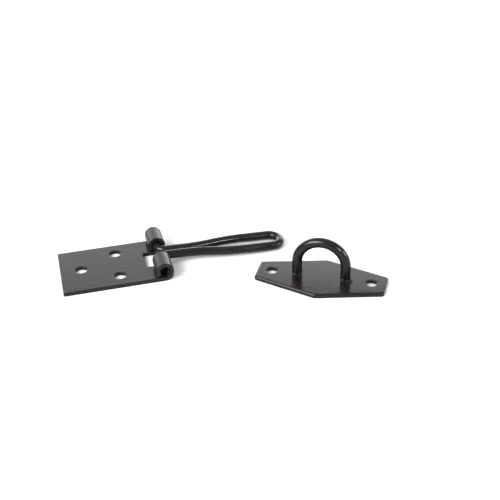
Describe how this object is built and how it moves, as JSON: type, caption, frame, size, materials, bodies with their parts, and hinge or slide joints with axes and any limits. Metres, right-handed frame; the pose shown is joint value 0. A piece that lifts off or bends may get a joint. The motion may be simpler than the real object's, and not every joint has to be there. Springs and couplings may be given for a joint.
{
  "type": "hasp and staple",
  "caption": "Wire-pattern hasp and staple: a screw-down plate with rolled knuckles holds a hinged wire loop, and a padlock hoop stands on a separate six-sided screw-down plate.",
  "frame": {"origin": "centre of the hasp plate's three screw holes, on the back face that lies against the door", "axes": "+X along the hasp from the plate to the loop, +Y along the hinge axis, +Z out of the door, from the back face to the front"},
  "size_m": [0.1559, 0.0812, 0.0242],
  "materials": {
    "satin_black_plate": "satin black coating over punched steel plate",
    "gloss_black_wire": "semi-gloss black coating over bent steel wire"
  },
  "bodies": {
    "hasp_plate": {"hasp_plate": "satin_black_plate"},
    "wire_hasp": {"wire_hasp": "gloss_black_wire"},
    "staple": {"staple_plate": "satin_black_plate", "staple_hoop": "gloss_black_wire"}
  },
  "joints": [
    {"name": "wire_swing", "type": "hinge", "parent": "hasp_plate", "child": "wire_hasp", "pos_m": [0.0277, 0, 0.005], "axis": [0, -1, 0], "range_deg": [0, 182]},
    {"name": "staple_lift", "type": "slide", "parent": "hasp_plate", "child": "staple", "axis": [0, 0, 1], "range_m": [0, 0.03]}
  ]
}
